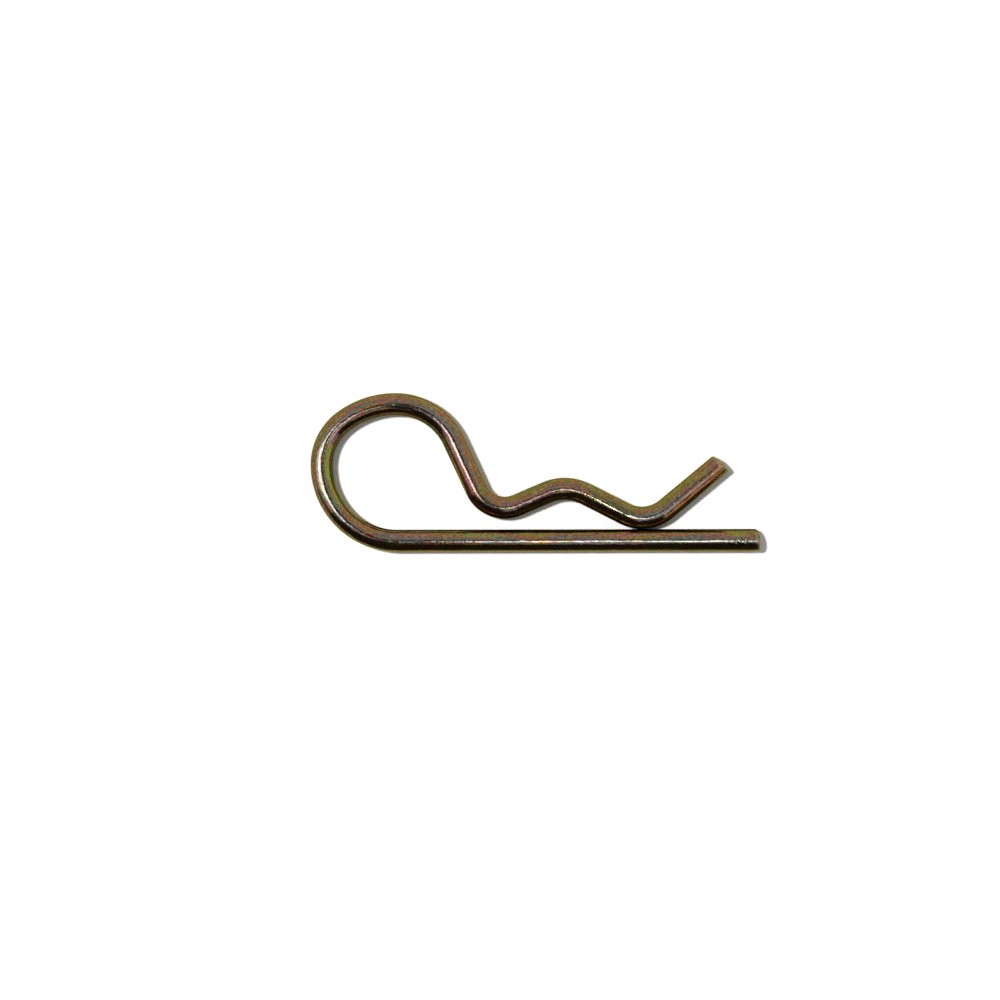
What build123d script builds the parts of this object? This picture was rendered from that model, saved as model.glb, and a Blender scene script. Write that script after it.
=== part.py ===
from build123d import *
import os

# R clip (hairpin cotter) for a hitch pin, bent cold from one length of round spring wire.
# The straight leg goes through the cross hole near the end of a hitch pin. The wire turns back
# over a round loop and returns as a wavy arm: a first dip, a hump that seats on the outside of the
# pin, a second dip that springs against the straight leg, and a tip that splays away from it.
# The clip lies on its side: every bend is in one plane, parallel to the surface it rests on.
# The path is drawn with the leg along X and starts at the leg's free end. A height here is
# measured from the middle of the straight leg to the middle of the arm's wire. Lengths are in
# millimetres, and turns and slopes in degrees.

# Wire
wire_diameter = 4.0
end_crown = 0.45  # how far the middle of a cropped end stands proud of its rim
end_rim_radius = 0.35  # the rolled edge that cropping leaves around each end
end_depth = 1.5  # the length of wire that is shaped as a cropped end

# Straight leg
leg_length = 64.7

# Loop: four bends, each starting where the last one stops
loop_base_radius = 13.6
loop_base_turn = 91.0
loop_shoulder_radius = 9.6
loop_shoulder_turn = 52.7
loop_crown_radius = 15.6
loop_crown_turn = 38.1
loop_front_radius = 11.4

# Wavy arm: slopes of its straight runs, counted from the straight leg
fall_slope = 65.3
rise_slope = 23.1
drop_slope = 26.9
tip_slope = 39.6

# Wavy arm: bends, their heights, and the length of the splayed tip
first_dip_radius = 5.6
first_dip_height = 5.9
hump_radius = 8.1
hump_height = 9.25
second_dip_radius = 6.8
contact_gap = 0.05  # the second dip only just clears the leg
tip_length = 13.1

# Worked out from the sizes above
wire_radius = wire_diameter / 2
second_dip_height = wire_diameter + contact_gap
crown_sphere_radius = (wire_radius**2 + end_crown**2) / (2 * end_crown)


def bend(before, radius, turn):
    """A bend that carries on from the piece of path before it. A positive turn is to the left."""
    return JernArc(before @ 1, before % 1, radius, turn)


def straight(before, length):
    """A straight run that carries on from the piece of path before it."""
    return Line(before @ 1, before @ 1 + (before % 1) * length)


def straight_to_height(before, height):
    """A straight run that carries on from the piece before it until it reaches a height."""
    return straight(before, (height - (before @ 1).Y) / (before % 1).Y)


def bend_rise(radius, slope):
    """How far a bend climbs between its level point and the point where it has a slope."""
    level_to_slope = JernArc((0, 0), (1, 0), radius, slope)
    return (level_to_slope @ 1).Y


def straight_leg():
    """The leg, from the root of its cropped end to the start of the loop."""
    return Line((leg_length - end_depth, 0), (0, 0))


def loop_bends(leg):
    """The loop that turns the wire back over itself until it falls at the arm's first slope."""
    base = bend(leg, loop_base_radius, -loop_base_turn)
    shoulder = bend(base, loop_shoulder_radius, -loop_shoulder_turn)
    crown = bend(shoulder, loop_crown_radius, -loop_crown_turn)
    front_turn = 180 + fall_slope - loop_base_turn - loop_shoulder_turn - loop_crown_turn
    front = bend(crown, loop_front_radius, -front_turn)
    return [base, shoulder, crown, front]


def first_dip_runs(loop_end):
    """The falling run and the dip that makes the loop's throat."""
    fall_end = first_dip_height + bend_rise(first_dip_radius, fall_slope)
    fall = straight_to_height(loop_end, fall_end)
    dip = bend(fall, first_dip_radius, fall_slope + rise_slope)
    return [fall, dip]


def hump_runs(dip):
    """The rising run and the hump whose underside seats on the pin."""
    rise_end = hump_height - bend_rise(hump_radius, rise_slope)
    rise = straight_to_height(dip, rise_end)
    hump = bend(rise, hump_radius, -rise_slope - drop_slope)
    return [rise, hump]


def second_dip_runs(hump):
    """The dropping run, the dip that meets the leg, and the tip that leads the pin in."""
    drop_end = second_dip_height + bend_rise(second_dip_radius, drop_slope)
    drop = straight_to_height(hump, drop_end)
    dip = bend(drop, second_dip_radius, drop_slope + tip_slope)
    tip = straight(dip, tip_length - end_depth)
    return [drop, dip, tip]


def wire_path():
    """Every run and bend in order, from one cropped end to the other."""
    path = [straight_leg()]
    path += loop_bends(path[-1])
    path += first_dip_runs(path[-1])
    path += hump_runs(path[-1])
    path += second_dip_runs(path[-1])
    return path


def bent_wire(path):
    """Round wire along the path, without its cropped ends."""
    section = Plane(origin=path[0] @ 0, z_dir=path[0] % 0) * Circle(wire_radius)
    return sweep(section, path=Wire(path))


def cropped_end(root, outward):
    """One end of the wire beyond its root: a round stub with a shallow dome and a rolled rim."""
    stub = Rectangle(end_depth, wire_radius, align=(Align.MAX, Align.MIN))
    dome = Pos(-crown_sphere_radius, 0) * Circle(crown_sphere_radius)
    half_section = stub & dome
    rim = half_section.vertices().sort_by_distance((-end_crown, wire_radius))[0]
    half_section = fillet(rim, end_rim_radius)
    along_wire = Plane(origin=root + outward * end_depth, x_dir=outward, z_dir=(0, 0, 1))
    return along_wire * revolve(half_section, Axis.X)


def r_clip():
    """The whole clip, lying on its side with the middle of its underside at the origin."""
    path = wire_path()
    leg_end = cropped_end(path[0] @ 0, -(path[0] % 0))
    tip_end = cropped_end(path[-1] @ 1, path[-1] % 1)
    clip = bent_wire(path) + leg_end + tip_end
    box = clip.bounding_box()
    clip = Pos(-box.center().X, -box.center().Y, -box.min.Z) * clip
    clip.label = "r_clip"
    return clip


os.makedirs("parts", exist_ok=True)
export_step(r_clip(), "parts/r_clip.step")
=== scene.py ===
"""R clip of a hitch pin: spring wire with a yellow chromate finish, lying on its side."""

import math

import bpy
import numpy as np
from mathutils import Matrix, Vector, noise


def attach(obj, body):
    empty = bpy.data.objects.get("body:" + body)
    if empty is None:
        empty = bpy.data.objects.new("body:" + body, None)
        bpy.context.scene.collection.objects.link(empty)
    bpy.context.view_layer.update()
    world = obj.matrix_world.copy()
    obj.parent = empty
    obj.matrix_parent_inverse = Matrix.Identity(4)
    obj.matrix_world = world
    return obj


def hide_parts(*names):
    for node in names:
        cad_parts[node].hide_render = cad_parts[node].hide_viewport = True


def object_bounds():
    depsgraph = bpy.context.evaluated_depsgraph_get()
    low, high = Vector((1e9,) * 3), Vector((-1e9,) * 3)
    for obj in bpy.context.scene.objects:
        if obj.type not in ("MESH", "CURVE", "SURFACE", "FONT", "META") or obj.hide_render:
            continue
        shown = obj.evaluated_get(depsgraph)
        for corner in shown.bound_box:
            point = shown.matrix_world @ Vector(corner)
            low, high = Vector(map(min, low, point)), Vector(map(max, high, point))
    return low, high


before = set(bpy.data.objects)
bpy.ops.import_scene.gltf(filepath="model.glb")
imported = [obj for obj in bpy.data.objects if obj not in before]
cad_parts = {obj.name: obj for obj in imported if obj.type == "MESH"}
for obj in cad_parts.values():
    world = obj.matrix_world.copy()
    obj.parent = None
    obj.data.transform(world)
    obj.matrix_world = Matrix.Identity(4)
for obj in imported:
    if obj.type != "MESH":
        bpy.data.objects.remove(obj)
cad_low, cad_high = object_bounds()

# The clip's own sizes, in millimetres and degrees. They are those of its construction.
wire_diameter = 4.0
leg_length = 64.7
loop_base_radius = 13.6
loop_base_turn = 91.0
loop_shoulder_radius = 9.6
loop_shoulder_turn = 52.7
loop_crown_radius = 15.6
loop_crown_turn = 38.1
loop_front_radius = 11.4
fall_slope = 65.3
rise_slope = 23.1
drop_slope = 26.9
tip_slope = 39.6
first_dip_radius = 5.6
first_dip_height = 5.9
hump_radius = 8.1
hump_height = 9.25
second_dip_radius = 6.8
contact_gap = 0.05
tip_length = 13.1
wire_radius = wire_diameter / 2
second_dip_height = wire_diameter + contact_gap

# Cropped ends
end_crown = 0.25  # how far the middle stands proud of the rim
rim_radius = 0.2  # the rolled edge where the blade left the wire
rollover = 0.45  # how much rounder the edge is where the blade came in
crop_slant = 0.15  # how far the blade's side of an end is dragged back
end_reach = end_crown + rim_radius + rollover + crop_slant

# Nicks that handling left near the leg's end: millimetres from that end, and degrees round the
# wire, where 90 is its top.
nicks = [(2.7, 84), (3.4, 96), (4.2, 78)]
nick_length = 0.2
nick_width = 0.4
nick_depth = 0.07

# The skin of the wire
rings_along = 1180
points_around = 72
rim_rings = 8
face_rings = 10
swell_height = 0.012  # low swells that the die and the bending rolls leave
swell_length = 6.0  # how far it is along the wire from one swell to the next
swells_around = 0.8  # how quickly a swell fades round the wire
bend_narrowing = 0.036  # how much a bend takes off the wire's radius, times the bend's own radius

# The finish. Each pattern's grain is in millimetres along, across and up, and each height is in
# millimetres too.
streak_grain = (12.0, 1.1, 1.1)  # bands where the bath ran along the wire
fine_streak_grain = (3.5, 0.4, 0.4)
wave_grain = (3.0, 0.8, 0.8)  # ripples left by straightening
wave_height = 0.03
shear_grain = (1.0, 1.5, 0.16)  # lines across a cropped face, along the blade's path
shear_height = 0.06

# These are finer on real wire, where draw lines are about 0.05 apart and zinc grains and pores
# about 0.05 wide. They are drawn this coarse so that they show.
draw_line_grain = (7.0, 0.22, 0.22)
draw_line_height = 0.006
mottle_grain = (0.5, 0.28, 0.28)
tint_grain = (0.55, 0.3, 0.3)
pore_grain = (0.5, 0.24, 0.24)
pore_height = 0.01

# The film's value, where 0 is the thinnest and 1 the thickest film, is a sum of these. The
# shoulders'
# share in it is painted sheen: it paints the film's colour shift with viewing angle, as seen from
# above.
film_base = -1.25
film_from_streaks = 1.9
film_from_fine_streaks = 0.7
painted_sheen_on_shoulders = 0.85

# How far out in a bloom a spot lies is counted in the bloom's own half widths, and the streaks add
# up to bloom_wander to that count, so its outline isn't a plain oval. It is full up to bloom_full
# and gone at bloom_end.
bloom_full = 1.6
bloom_end = 2.4
bloom_wander = 2.4

tint_strength = 0.6
sheared_roughness = 0.2  # how much rougher a cropped face is than the drawn wire

# Studio, in millimetres and degrees
lens = 150.0
sensor = 36.0
view_width = 178.6  # what the camera takes in, from side to side
view_middle = (-6.31, -4.95)  # the spot that the camera stands over
view_turn = -0.13
nearest_seen = 10.0
furthest_seen = 30000.0
floor_size = 6000.0
paper_spread = 0.8  # the share of its light that the paper throws back
seen_paper_brightness = 1.9  # just past white under the key light, so that only shadows show
surround_light = 0.15  # what the white surroundings add to a shadow
flag_line = -80.0  # where the standing flags stand, on the leg's open side

MM = 0.001


# ---------------------------------------------------------------- the path of the wire


def straight(length):
    """A straight run, as its length and curvature."""
    return length, 0.0


def bend(radius, turn):
    """A bend, as its length and curvature. A positive turn is to the left."""
    return radius * math.radians(abs(turn)), math.copysign(1 / radius, turn)


def bend_rise(radius, slope):
    """How far a bend climbs between its level point and the point where it has a slope."""
    return radius * (1 - math.cos(math.radians(slope)))


def slope_run(climb, slope):
    """A straight run that climbs or falls by a height on a slope."""
    return straight(climb / math.sin(math.radians(slope)))


def follow(place, run):
    """Where a run leads from a place, which is x, y and heading."""
    x, y, heading = place
    length, curvature = run
    if curvature == 0:
        return x + length * math.cos(heading), y + length * math.sin(heading), heading
    turned = heading + curvature * length
    x += (math.sin(turned) - math.sin(heading)) / curvature
    y -= (math.cos(turned) - math.cos(heading)) / curvature
    return x, y, turned


def loop_runs():
    """The straight leg and the loop's four bends."""
    front_turn = 180 + fall_slope - loop_base_turn - loop_shoulder_turn - loop_crown_turn
    return [
        straight(leg_length),
        bend(loop_base_radius, -loop_base_turn),
        bend(loop_shoulder_radius, -loop_shoulder_turn),
        bend(loop_crown_radius, -loop_crown_turn),
        bend(loop_front_radius, -front_turn),
    ]


def arm_runs(loop_end_height):
    """The wavy arm, from the falling run to the splayed tip."""
    fall_end = first_dip_height + bend_rise(first_dip_radius, fall_slope)
    rise_start = first_dip_height + bend_rise(first_dip_radius, rise_slope)
    rise_end = hump_height - bend_rise(hump_radius, rise_slope)
    drop_start = hump_height - bend_rise(hump_radius, drop_slope)
    drop_end = second_dip_height + bend_rise(second_dip_radius, drop_slope)
    return [
        slope_run(loop_end_height - fall_end, fall_slope),
        bend(first_dip_radius, fall_slope + rise_slope),
        slope_run(rise_end - rise_start, rise_slope),
        bend(hump_radius, -rise_slope - drop_slope),
        slope_run(drop_start - drop_end, drop_slope),
        bend(second_dip_radius, drop_slope + tip_slope),
        straight(tip_length),
    ]


def wire_runs():
    """Every run in order and the place where each starts, from the leg's free end to the tip."""
    places = [(leg_length, 0.0, math.pi)]
    runs = loop_runs()
    for run in runs:
        places.append(follow(places[-1], run))
    arm = arm_runs(places[-1][1])
    for run in arm:
        places.append(follow(places[-1], run))
    return runs + arm, places


# ---------------------------------------------------------------- the skin of the wire


def wire_stations(runs, places):
    """Evenly spaced stations along the wire: arc length, x, y, heading and curvature."""
    starts = np.concatenate([[0.0], np.cumsum([length for length, _ in runs])])
    stations = []
    for along in np.linspace(end_reach, starts[-1] - end_reach, rings_along):
        index = min(int(np.searchsorted(starts, along, side="right")) - 1, len(runs) - 1)
        curvature = runs[index][1]
        place = follow(places[index], (along - starts[index], curvature))
        stations.append((along, *place, curvature))
    return np.array(stations), starts[-1]


def end_rings(angles, blade_side):
    """Radius and depth of an end's rings, from the full wire to the middle of the face.

    The blade came in on the wire's left where blade_side is 1, and on its right where it is -1."""
    towards_blade = blade_side * np.cos(angles)
    roundness = rim_radius + rollover * ((1 + towards_blade) / 2) ** 1.5
    slant = crop_slant * towards_blade
    rings = []
    for quarter in np.linspace(0, math.pi / 2, rim_rings, endpoint=False):
        radius = wire_radius - roundness * (1 - math.cos(quarter))
        depth = end_crown + slant + roundness * (1 - math.sin(quarter))
        rings.append((radius, depth))
    for share in np.linspace(1, 0, face_rings + 1)[:-1]:
        radius = (wire_radius - roundness) * share
        depth = (end_crown + slant) * share**2
        rings.append((radius, depth))
    return rings


def ring_points(place, radius, angles, forward):
    """Points around the wire, forward of a place, with the first one on the left of its heading."""
    x, y, heading = place
    left = heading + math.pi / 2
    reach = radius * np.cos(angles)
    px = x + reach * math.cos(left) + forward * math.cos(heading)
    py = y + reach * math.sin(left) + forward * math.sin(heading)
    pz = wire_radius + radius * np.sin(angles)
    return np.stack([px, py, pz], axis=1)


def swell(along, angles):
    """How far a ring swells or shrinks, from -1 to 1, the same on every run of the script."""
    spots = [
        Vector((along / swell_length, swells_around * math.cos(a), swells_around * math.sin(a)))
        for a in angles
    ]
    return np.array([noise.noise(spot) for spot in spots])


def nicked(along, angles):
    """How deep the nicks are at a ring."""
    depth = np.zeros(points_around)
    for nick_along, nick_angle in nicks:
        across = wire_radius * (angles - math.radians(nick_angle)) / nick_width
        depth += nick_depth * np.exp(-(((along - nick_along) / nick_length) ** 2) - across**2)
    return depth


def wire_skin():
    """Points, wire coordinates and cropped-face marks ring by ring, and the places along the wire.

    Wire coordinates are how far along, how far to the left of the middle and how far above it."""
    runs, places = wire_runs()
    stations, total = wire_stations(runs, places)
    angles = np.linspace(0, 2 * math.pi, points_around, endpoint=False)
    points, coords, marks = [], [], []

    def add_ring(place, along, radius, forward, mark):
        points.append(ring_points(place, radius, angles, forward))
        coords.append(np.stack([
            np.full(points_around, along),
            radius * np.cos(angles),
            radius * np.sin(angles),
        ], axis=1))
        marks.append(np.full(points_around, mark))

    leg_end = places[0]
    tip_end = places[-1]
    for radius, depth in reversed(end_rings(angles, -1)):
        add_ring(leg_end, 0.0, radius, depth, 1.0)
    for along, x, y, heading, curvature in stations:
        radius = wire_radius - bend_narrowing * abs(curvature) * np.cos(2 * angles)
        radius += swell_height * swell(along, angles) - nicked(along, angles)
        add_ring((x, y, heading), along, radius, 0.0, 0.0)
    for radius, depth in end_rings(angles, 1):
        add_ring(tip_end, total, radius, -depth, 1.0)
    return points, coords, marks, places


def wire_object():
    """The clip's skin as one closed mesh in the row frame, in metres."""
    points, coords, marks, places = wire_skin()
    ring_count = len(points)
    middle = [
        np.array([[places[0][0], places[0][1], wire_radius]]),
        np.array([[places[-1][0], places[-1][1], wire_radius]]),
    ]
    vertices = np.concatenate(points + middle)
    low = vertices.min(axis=0)
    high = vertices.max(axis=0)
    vertices[:, :2] -= (low[:2] + high[:2]) / 2
    vertices *= MM
    centre = (cad_low + cad_high) / 2
    vertices[:, 0] += centre.x
    vertices[:, 1] += centre.y

    faces = []
    for ring in range(ring_count - 1):
        base = ring * points_around
        for i in range(points_around):
            j = (i + 1) % points_around
            faces.append((base + i, base + j, base + points_around + j, base + points_around + i))
    last = (ring_count - 1) * points_around
    for i in range(points_around):
        j = (i + 1) % points_around
        faces.append((len(vertices) - 2, j, i))
        faces.append((len(vertices) - 1, last + i, last + j))

    mesh = bpy.data.meshes.new("r_clip_wire")
    mesh.from_pydata(vertices.tolist(), [], faces)
    mesh.shade_smooth()
    leg_middle = np.zeros((1, 3))
    tip_middle = coords[-1][:1] * [1, 0, 0]
    wire_coords = np.concatenate(coords + [leg_middle, tip_middle]) * MM
    mesh.attributes.new("drawn_wire", "FLOAT_VECTOR", "POINT").data.foreach_set(
        "vector", wire_coords.astype(np.float32).ravel()
    )
    face_marks = np.concatenate(marks + [np.ones(2)])
    mesh.attributes.new("cropped_face", "FLOAT", "POINT").data.foreach_set(
        "value", face_marks.astype(np.float32)
    )
    clip = bpy.data.objects.new("r_clip_wire", mesh)
    bpy.context.scene.collection.objects.link(clip)
    return clip


# ---------------------------------------------------------------- materials


def hex_colour(code):
    """An sRGB hex colour as linear red, green, blue and full alpha."""
    channels = [int(code[i:i + 2], 16) / 255 for i in (1, 3, 5)]
    linear = [c / 12.92 if c <= 0.04045 else ((c + 0.055) / 1.055) ** 2.4 for c in channels]
    return (*linear, 1.0)


def add_node(tree, kind, inputs=None, stops=None, **settings):
    """Adds a node, with its settings, its colour stops, and its inputs as values or links."""
    made = tree.nodes.new(kind)
    for name, value in settings.items():
        setattr(made, name, value)
    for socket, value in (inputs or {}).items():
        if isinstance(value, bpy.types.NodeSocket):
            tree.links.new(value, made.inputs[socket])
        else:
            made.inputs[socket].default_value = value
    # A new colour ramp already has two stops, so the first two given here are its ends.
    for index, (position, colour) in enumerate(stops or []):
        elements = made.color_ramp.elements
        element = elements[index] if index < 2 else elements.new(position)
        element.position = position
        element.color = hex_colour(colour)
    return made


def grain_space(tree, coords, grain, shift=0.0):
    """Wire coordinates scaled to a pattern's grain, and shifted so that patterns don't line up."""
    scale = [1 / (size * MM) for size in grain]
    scaled = add_node(
        tree, "ShaderNodeVectorMath", {0: coords, 1: scale, 2: (shift, shift, shift)},
        operation="MULTIPLY_ADD",
    )
    return scaled.outputs[0]


# Soft blooms where the film dried thicker or thinner, with painted light among them where marked:
# painted highlights, painted sheen and painted dark reflections. Each gives how far along the wire
# from the leg's free end, how far to the left of its middle, half its length and half its width, all
# in millimetres, then its colour and strength. Each one is on the underside too.
film_blooms = [
    (84.0, -0.2, 9.0, 0.35, "#625E34", 0.8),  # olive on top of the loop's back
    (84.5, -1.05, 7.5, 0.5, "#82861E", 1.0),  # green, inside the loop's back
    (84.5, -1.6, 8.0, 0.18, "#4C541E", 0.9),  # dark green at its edge: a painted dark reflection along the loop's inner edge
    (92.3, -1.05, 2.6, 0.4, "#8A5360", 0.9),  # pink above it
    (103.0, 1.3, 5.5, 0.35, "#86583C", 0.8),  # copper on the outside of the crown
    (110.5, 0.9, 3.5, 0.3, "#6F7436", 0.7),  # green where the loop turns down
    (123.5, -0.75, 6.0, 0.45, "#904C58", 0.9),  # pink down the falling run
    (152.0, 1.1, 4.5, 0.45, "#6A6426", 0.8),  # olive on the dropping run
    (82.0, 0.55, 15.0, 0.45, "#6E6C68", 0.75),  # grey along the loop's back: painted sheen that makes the highlight there white
    (83.0, 1.45, 9.0, 0.3, "#664838", 0.8),  # brown on the outside of the back
    (95.5, -0.25, 4.0, 0.4, "#7A6668", 0.8),  # rose grey on the shoulder, also painted sheen that tints its highlight pinkish white
    (104.5, -0.3, 8.0, 0.6, "#4A3F36", 0.9),  # smoky: a painted dark reflection across the top of the crown
    (116.0, -0.6, 10.0, 0.5, "#766468", 0.8),  # rose grey where the loop turns down, also painted sheen that tints its highlight pinkish white
    (140.0, -0.25, 6.0, 0.5, "#4C3232", 1.0),  # dark rose on the rising run: painted shade that dims its highlight
    (153.0, -0.1, 4.5, 0.25, "#B4B886", 0.85),  # painted highlight: a pale patch on top of the dropping run that brightens its highlight
    (155.0, 0.65, 6.0, 0.35, "#4A4E24", 0.9),  # moss green on the dropping run
    (171.0, -1.1, 9.0, 0.3, "#A8602E", 0.9),  # copper under the tip: a painted reflection, the orange line of the leg's lit top
    (172.0, 0.1, 7.0, 0.5, "#74523F", 0.7),  # brown along the top of the tip
    (168.0, 1.35, 4.5, 0.4, "#7C7420", 0.8),  # olive at the start of the tip
    (13.0, 0.15, 10.0, 0.3, "#82847A", 0.8),  # painted highlight: grey near the leg's end that brightens the highlight there
    (43.0, 0.15, 5.0, 0.35, "#6C6864", 0.8),  # grey on top of the leg: painted sheen that makes the highlight there white
    (50.5, -1.0, 5.0, 0.45, "#787C34", 0.8),  # green along the leg, next to the loop
    (61.0, -1.0, 5.0, 0.4, "#905A48", 0.7),  # copper where the leg leaves the loop
    (23.5, -1.1, 5.0, 0.35, "#8E5650", 0.8),  # pink under the second dip
    (4.0, -1.0, 2.6, 0.45, "#807C2A", 0.8),  # olive near the leg's end
]


def bloom_over(tree, colour, coords, wander, bloom):
    """A colour with one soft bloom over it, whose outline wanders with the streaks."""
    along, left, length, width, bloom_colour, strength = bloom
    offset = add_node(
        tree, "ShaderNodeVectorMath", {0: coords, 1: (along * MM, left * MM, 0)},
        operation="SUBTRACT",
    ).outputs[0]
    shares = add_node(
        tree, "ShaderNodeVectorMath", {0: offset, 1: (1 / (length * MM), 1 / (width * MM), 0)},
        operation="MULTIPLY",
    ).outputs[0]
    reach = add_node(
        tree, "ShaderNodeVectorMath", {0: shares}, operation="LENGTH"
    ).outputs["Value"]
    reach = add_node(
        tree, "ShaderNodeMath", {0: wander, 1: bloom_wander, 2: reach}, operation="MULTIPLY_ADD"
    ).outputs[0]
    cover = add_node(
        tree, "ShaderNodeMapRange",
        {"Value": reach, "From Min": bloom_end, "From Max": bloom_full, "To Max": strength},
        interpolation_type="SMOOTHSTEP",
    ).outputs["Result"]
    return add_node(
        tree, "ShaderNodeMix", {0: cover, 6: colour, 7: hex_colour(bloom_colour)},
        data_type="RGBA",
    ).outputs[2]


def shoulder_share(tree, coords):
    """0 on top and below, 1 out at the wire's four shoulders, and less on its flanks."""
    around = add_node(
        tree, "ShaderNodeVectorMath", {0: coords, "Scale": 1 / (wire_radius * MM)}, operation="SCALE"
    ).outputs[0]
    around = add_node(
        tree, "ShaderNodeVectorMath", {0: around}, operation="ABSOLUTE"
    ).outputs[0]
    around = add_node(tree, "ShaderNodeSeparateXYZ", {0: around})
    off_flank = add_node(
        tree, "ShaderNodeMapRange",
        {"Value": around.outputs["Z"], "From Min": 0.0, "From Max": 0.3, "To Min": 0.4},
    ).outputs["Result"]
    return add_node(
        tree, "ShaderNodeMath", {0: around.outputs["Y"], 1: off_flank}, operation="MULTIPLY"
    ).outputs[0]


def chromate_film(tree, coords, shoulder):
    """The film's colour, from how thick it is, with painted sheen on the shoulders, its blooms and
    painted shade along the outline.
    """
    streaks = add_node(
        tree, "ShaderNodeTexNoise",
        {
            "Vector": grain_space(tree, coords, streak_grain),
            "Scale": 1.0,
            "Detail": 4.0,
            "Roughness": 0.55,
        },
    ).outputs["Fac"]
    fine_streaks = add_node(
        tree, "ShaderNodeTexNoise",
        {"Vector": grain_space(tree, coords, fine_streak_grain, 5.9), "Scale": 1.0, "Detail": 3.0},
    ).outputs["Fac"]
    film = add_node(
        tree, "ShaderNodeMath", {0: streaks, 1: film_from_streaks, 2: film_base},
        operation="MULTIPLY_ADD",
    ).outputs[0]
    film = add_node(
        tree, "ShaderNodeMath", {0: fine_streaks, 1: film_from_fine_streaks, 2: film},
        operation="MULTIPLY_ADD",
    ).outputs[0]
    # Painted sheen: the shoulders push the film towards olive, painting its colour shift with
    # viewing angle as seen from above.
    film = add_node(
        tree, "ShaderNodeMath", {0: shoulder, 1: painted_sheen_on_shoulders, 2: film},
        operation="MULTIPLY_ADD",
    ).outputs[0]
    colour = add_node(
        tree, "ShaderNodeValToRGB", {0: film},
        stops=[
            (0.0, "#666560"),  # grey
            (1.0, "#66621A"),  # olive
            (0.12, "#6B5A55"),  # rose grey
            (0.22, "#586048"),  # grey green
            (0.31, "#7E4F4B"),  # pink
            (0.40, "#8E5630"),  # copper
            (0.50, "#7D7220"),  # old gold
            (0.58, "#586C2C"),  # green
            (0.67, "#8C463E"),  # red brown
            (0.77, "#8C561C"),  # bronze
            (0.88, "#686A1A"),  # moss
        ],
    ).outputs["Color"]
    for bloom in film_blooms:
        colour = bloom_over(tree, colour, coords, fine_streaks, bloom)
    # Painted shade: a dark olive near the wire's outline as seen from above, darker than the film
    # there.
    edge = add_node(
        tree, "ShaderNodeMapRange",
        {"Value": shoulder, "From Min": 0.78, "From Max": 0.9, "To Max": 0.85},
        interpolation_type="SMOOTHSTEP",
    ).outputs["Result"]
    return add_node(
        tree, "ShaderNodeMix", {0: edge, 6: colour, 7: hex_colour("#57521B")},
        data_type="RGBA",
    ).outputs[2]


def zinc_mottle(tree, coords):
    """The fine patchiness of the zinc below the film, from 0 to 1."""
    return add_node(
        tree, "ShaderNodeTexNoise",
        {"Vector": grain_space(tree, coords, mottle_grain, 3.1), "Scale": 1.0, "Detail": 2.0},
    ).outputs["Fac"]


def zinc_through_film(tree, coords, colour, mottle):
    """Pale flecks and dark specks where the zinc shows through, and a fine grain of tints."""
    flecks = add_node(
        tree, "ShaderNodeMapRange",
        {"Value": mottle, "From Min": 0.53, "From Max": 0.68, "To Max": 0.45},
    ).outputs["Result"]
    colour = add_node(
        tree, "ShaderNodeMix", {0: flecks, 6: colour, 7: hex_colour("#908F84")},
        data_type="RGBA",
    ).outputs[2]
    specks = add_node(
        tree, "ShaderNodeMapRange",
        {"Value": mottle, "From Min": 0.47, "From Max": 0.32, "To Max": 0.65},
    ).outputs["Result"]
    colour = add_node(
        tree, "ShaderNodeMix", {0: specks, 6: colour, 7: hex_colour("#4A3F2C")},
        data_type="RGBA",
    ).outputs[2]
    tints = add_node(
        tree, "ShaderNodeTexNoise",
        {"Vector": grain_space(tree, coords, tint_grain, 11.4), "Scale": 1.0, "Detail": 2.0},
    ).outputs["Color"]
    return add_node(
        tree, "ShaderNodeMix", {0: tint_strength, 6: colour, 7: tints},
        data_type="RGBA", blend_type="OVERLAY",
    ).outputs[2]


def sheared_faces(tree, coords):
    """Where the faces of the cropped ends are, and the torn lines that shearing left on them."""
    faces = add_node(
        tree, "ShaderNodeAttribute", attribute_name="cropped_face", attribute_type="GEOMETRY"
    ).outputs["Fac"]
    lines = add_node(
        tree, "ShaderNodeTexNoise",
        {"Vector": grain_space(tree, coords, shear_grain), "Scale": 1.0, "Detail": 3.0},
    ).outputs["Fac"]
    lines_on_faces = add_node(
        tree, "ShaderNodeMath", {0: faces, 1: lines}, operation="MULTIPLY"
    ).outputs[0]
    return faces, lines_on_faces


def drawn_relief(tree, coords, lines_on_faces):
    """The wire's fine relief: draw lines, ripples, sheared lines and pores, one on another."""
    draw_lines = add_node(
        tree, "ShaderNodeTexNoise",
        {"Vector": grain_space(tree, coords, draw_line_grain), "Scale": 1.0, "Detail": 2.0},
    ).outputs["Fac"]
    waves = add_node(
        tree, "ShaderNodeTexNoise",
        {"Vector": grain_space(tree, coords, wave_grain, 1.7), "Scale": 1.0, "Detail": 2.0},
    ).outputs["Fac"]
    pores = add_node(
        tree, "ShaderNodeTexNoise",
        {"Vector": grain_space(tree, coords, pore_grain, 8.3), "Scale": 1.0, "Detail": 1.0},
    ).outputs["Fac"]
    relief = add_node(
        tree, "ShaderNodeBump",
        {"Height": draw_lines, "Strength": 1.0, "Distance": draw_line_height * MM},
    ).outputs["Normal"]
    for height, distance in [
        (waves, wave_height),
        (lines_on_faces, shear_height),
        (pores, pore_height),
    ]:
        relief = add_node(
            tree, "ShaderNodeBump",
            {"Height": height, "Strength": 1.0, "Distance": distance * MM, "Normal": relief},
        ).outputs["Normal"]
    return relief


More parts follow.
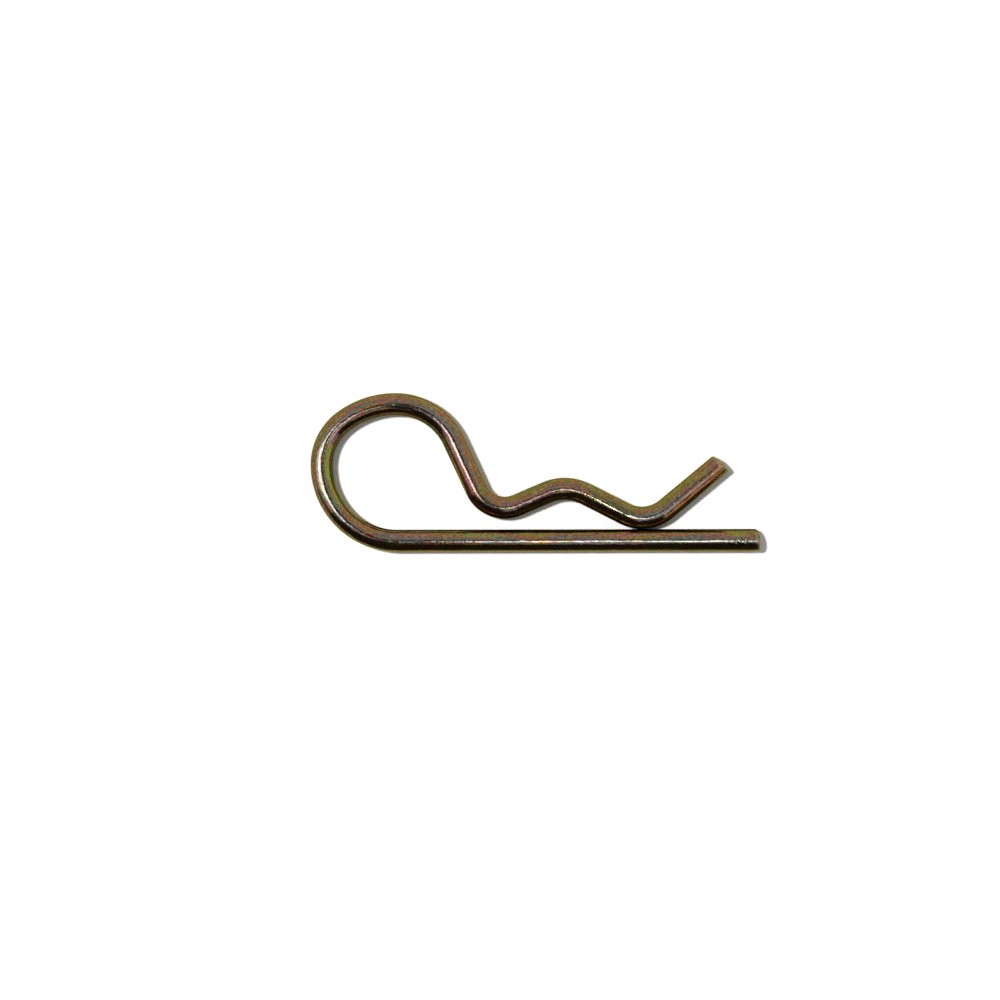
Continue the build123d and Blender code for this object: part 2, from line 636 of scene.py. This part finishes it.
def yellow_chromate_on_spring_wire():
    """Yellow chromate over zinc on drawn spring wire: a smoky, oily metal in gold, pink and green.

    The colour is grey on top and below and olive out at the wire's four shoulders: painted sheen,
    which paints the film's colour shift with viewing angle as seen from above. Between them it runs
    through pink and brown in long streaks, and some blooms are painted highlights, painted sheen and
    painted dark reflections."""
    material = bpy.data.materials.new("yellow_chromate_on_spring_wire")
    material.use_nodes = True
    tree = material.node_tree
    shader = tree.nodes["Principled BSDF"]
    coords = add_node(
        tree, "ShaderNodeAttribute", attribute_name="drawn_wire", attribute_type="GEOMETRY"
    ).outputs["Vector"]

    shoulder = shoulder_share(tree, coords)
    mottle = zinc_mottle(tree, coords)
    faces, lines_on_faces = sheared_faces(tree, coords)
    colour = chromate_film(tree, coords, shoulder)
    colour = zinc_through_film(tree, coords, colour, mottle)
    colour = add_node(
        tree, "ShaderNodeMix", {0: lines_on_faces, 6: colour, 7: hex_colour("#8F865A")},
        data_type="RGBA",
    ).outputs[2]
    roughness = add_node(
        tree, "ShaderNodeMapRange",
        {"Value": mottle, "From Min": 0.3, "From Max": 0.7, "To Min": 0.06, "To Max": 0.16},
    ).outputs["Result"]
    roughness = add_node(
        tree, "ShaderNodeMath", {0: faces, 1: sheared_roughness, 2: roughness},
        operation="MULTIPLY_ADD",
    ).outputs[0]
    tree.links.new(colour, shader.inputs["Base Color"])
    tree.links.new(roughness, shader.inputs["Roughness"])
    tree.links.new(drawn_relief(tree, coords, lines_on_faces), shader.inputs["Normal"])

    shader.inputs["Metallic"].default_value = 1.0
    shader.inputs["Specular Tint"].default_value = hex_colour("#D2CCA0")
    shader.inputs["Coat Weight"].default_value = 0.12
    shader.inputs["Coat Roughness"].default_value = 0.08
    return material


def seen_directly(tree):
    """1 for what the camera sees, straight or in metal and glass, and 0 for light that spreads."""
    path = add_node(tree, "ShaderNodeLightPath")
    straight_or_mirrored = add_node(
        tree, "ShaderNodeMath",
        {0: path.outputs["Is Camera Ray"], 1: path.outputs["Is Glossy Ray"]},
        operation="MAXIMUM",
    ).outputs[0]
    return add_node(
        tree, "ShaderNodeMath",
        {0: straight_or_mirrored, 1: path.outputs["Is Transmission Ray"]},
        operation="MAXIMUM",
    ).outputs[0]


def white_studio_paper():
    """Matt white paper. What is seen of it is a clean white that still takes a shadow."""
    material = bpy.data.materials.new("white_studio_paper")
    material.use_nodes = True
    tree = material.node_tree
    tree.nodes.remove(tree.nodes["Principled BSDF"])
    brightness = add_node(
        tree, "ShaderNodeMapRange",
        {"Value": seen_directly(tree), "To Min": paper_spread, "To Max": seen_paper_brightness},
    ).outputs["Result"]
    colour = add_node(
        tree, "ShaderNodeCombineColor", {0: brightness, 1: brightness, 2: brightness}
    ).outputs[0]
    paper = add_node(tree, "ShaderNodeBsdfDiffuse", {"Color": colour}).outputs[0]
    tree.links.new(paper, tree.nodes["Material Output"].inputs["Surface"])
    return material


def card(name, colour):
    """Matt card in one colour."""
    material = bpy.data.materials.new(name)
    material.use_nodes = True
    shader = material.node_tree.nodes["Principled BSDF"]
    shader.inputs["Base Color"].default_value = hex_colour(colour)
    shader.inputs["Roughness"].default_value = 0.9
    shader.inputs["Specular IOR Level"].default_value = 0.0
    return material


# ---------------------------------------------------------------- studio


def flat_card(name, corners, material):
    """A flat card through four corners in millimetres, which isn't part of the object."""
    mesh = bpy.data.meshes.new(name)
    mesh.from_pydata([Vector(c) * MM for c in corners], [], [(0, 1, 2, 3)])
    mesh.materials.append(material)
    sheet = bpy.data.objects.new(name, mesh)
    bpy.context.scene.collection.objects.link(sheet)
    return sheet


def rectangle(low, high):
    """The corners of a rectangle in order round it, from its low corner."""
    return [(low[0], low[1]), (high[0], low[1]), (high[0], high[1]), (low[0], high[1])]


def level_card(name, low, high, height, material):
    """A card level with the floor, from one corner to the other, each as x and y."""
    return flat_card(name, [(x, y, height) for x, y in rectangle(low, high)], material)


def standing_card(name, low, high, material):
    """A card on the line of standing flags, from one corner to the other, each as x and height."""
    return flat_card(name, [(x, flag_line, z) for x, z in rectangle(low, high)], material)


def studio_floor():
    """The paper that the clip lies on."""
    half = floor_size / 2
    level_card("studio_floor", (-half, -half), (half, half), 0, white_studio_paper())


def mirrored_only(thing):
    """Leaves a card or a lamp to be seen only in the metal."""
    thing.visible_camera = False
    thing.visible_diffuse = False
    thing.visible_shadow = False


def flags_in_the_mirror():
    """Cards that only the metal shows: a dark band on the leg's open side, and a camera overhead."""
    dark = card("dark_flag_card", "#5A5A5A")
    middle = card("middle_flag_card", "#909090")
    grey = card("grey_flag_card", "#C4C4C4")
    pale = card("pale_flag_card", "#E6E6E6")
    cards = [
        standing_card("standing_flag", (-50, 0), (70, 90), dark),
        standing_card("standing_flag_end", (22, 90), (70, 135), dark),
        standing_card("standing_flag_foot", (70, 0), (150, 28), dark),
        standing_card("standing_flag_head", (70, 68), (150, 90), dark),
        standing_card("tall_standing_flag", (-140, 0), (-50, 160), dark),
        standing_card("grey_standing_flag", (-300, 0), (-140, 100), grey),
        # Painted shade, seen only in the metal: the lying cards darken the floor's reflection beside
        # the leg, between the leg and the arm, and inside the loop.
        level_card("lying_flag", (-70, -80), (150, -20), 0.2, dark),
        level_card("lying_flag_inside", (-30, -12), (42, -5), 0.2, middle),
        level_card("lying_flag_loop", (-37, -1), (-16, 11), 0.2, pale),
        level_card("overhead_flag", (-90, -550), (-15, -30), 595, dark),
        level_card("overhead_flag_wing", (-420, -550), (-90, -230), 595, dark),
        level_card("camera_shade", (-60, -45), (6, 40), 285, grey),
        level_card("camera_shade_back", (6, -5), (24, 40), 285, grey),
        level_card("camera_shade_side", (24, -45), (50, 40), 285, grey),
        level_card("camera_body", (-50, -10), (-18, 26), 284, dark),
    ]
    for flag in cards:
        mirrored_only(flag)


def soft_box(name, centre, size, brightness):
    """A soft box that faces straight down: its centre, its size and how bright its face is."""
    lamp = bpy.data.lights.new(name, "AREA")
    lamp.shape = "RECTANGLE"
    lamp.size = size[0] * MM
    lamp.size_y = size[1] * MM
    lamp.energy = brightness * math.pi * lamp.size * lamp.size_y
    box = bpy.data.objects.new(name, lamp)
    box.location = Vector(centre) * MM
    box.visible_camera = False
    bpy.context.scene.collection.objects.link(box)
    return box


def studio_lamps():
    """Soft boxes that only the metal shows, and a key light that only the paper shows."""
    mirrored_only(soft_box("strip_soft_box", (32, -98, 600), (96, 136), 6.5))
    mirrored_only(soft_box("loop_soft_box", (-260, -12, 600), (260, 225), 7.2))
    mirrored_only(soft_box("loop_soft_box_wing", (-595, -12, 600), (410, 330), 2.0))
    mirrored_only(soft_box("arm_soft_box", (-2, -72, 598), (26, 60), 11.0))
    mirrored_only(soft_box("tip_soft_box", (260, -205, 600), (120, 130), 2.2))
    key = soft_box("key_soft_box", (-1150, 450, 2800), (350, 350), 129.0)
    key.visible_glossy = False


def studio_world():
    """Plain white surroundings, with less light from them than is seen of them."""
    world = bpy.data.worlds.new("studio_world")
    world.use_nodes = True
    bpy.context.scene.world = world
    tree = world.node_tree
    strength = add_node(
        tree, "ShaderNodeMapRange",
        {"Value": seen_directly(tree), "To Min": surround_light, "To Max": 1.0},
    ).outputs["Result"]
    background = tree.nodes["Background"]
    background.inputs["Color"].default_value = (1, 1, 1, 1)
    tree.links.new(strength, background.inputs["Strength"])


def camera_above():
    """The camera, which looks straight down on the clip."""
    data = bpy.data.cameras.new("camera_above")
    data.lens = lens
    data.sensor_width = sensor
    camera = bpy.data.objects.new("camera_above", data)
    distance = view_width * lens / sensor
    camera.location = Vector((*view_middle, distance + wire_radius)) * MM
    camera.rotation_euler = (0, 0, math.radians(view_turn))
    data.clip_start = nearest_seen * MM
    data.clip_end = furthest_seen * MM
    bpy.context.scene.collection.objects.link(camera)
    bpy.context.scene.camera = camera


bpy.context.scene.view_settings.view_transform = "Standard"
clip = wire_object()
clip.data.materials.append(yellow_chromate_on_spring_wire())
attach(clip, "root")
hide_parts("r_clip")
studio_floor()
flags_in_the_mirror()
studio_lamps()
studio_world()
camera_above()
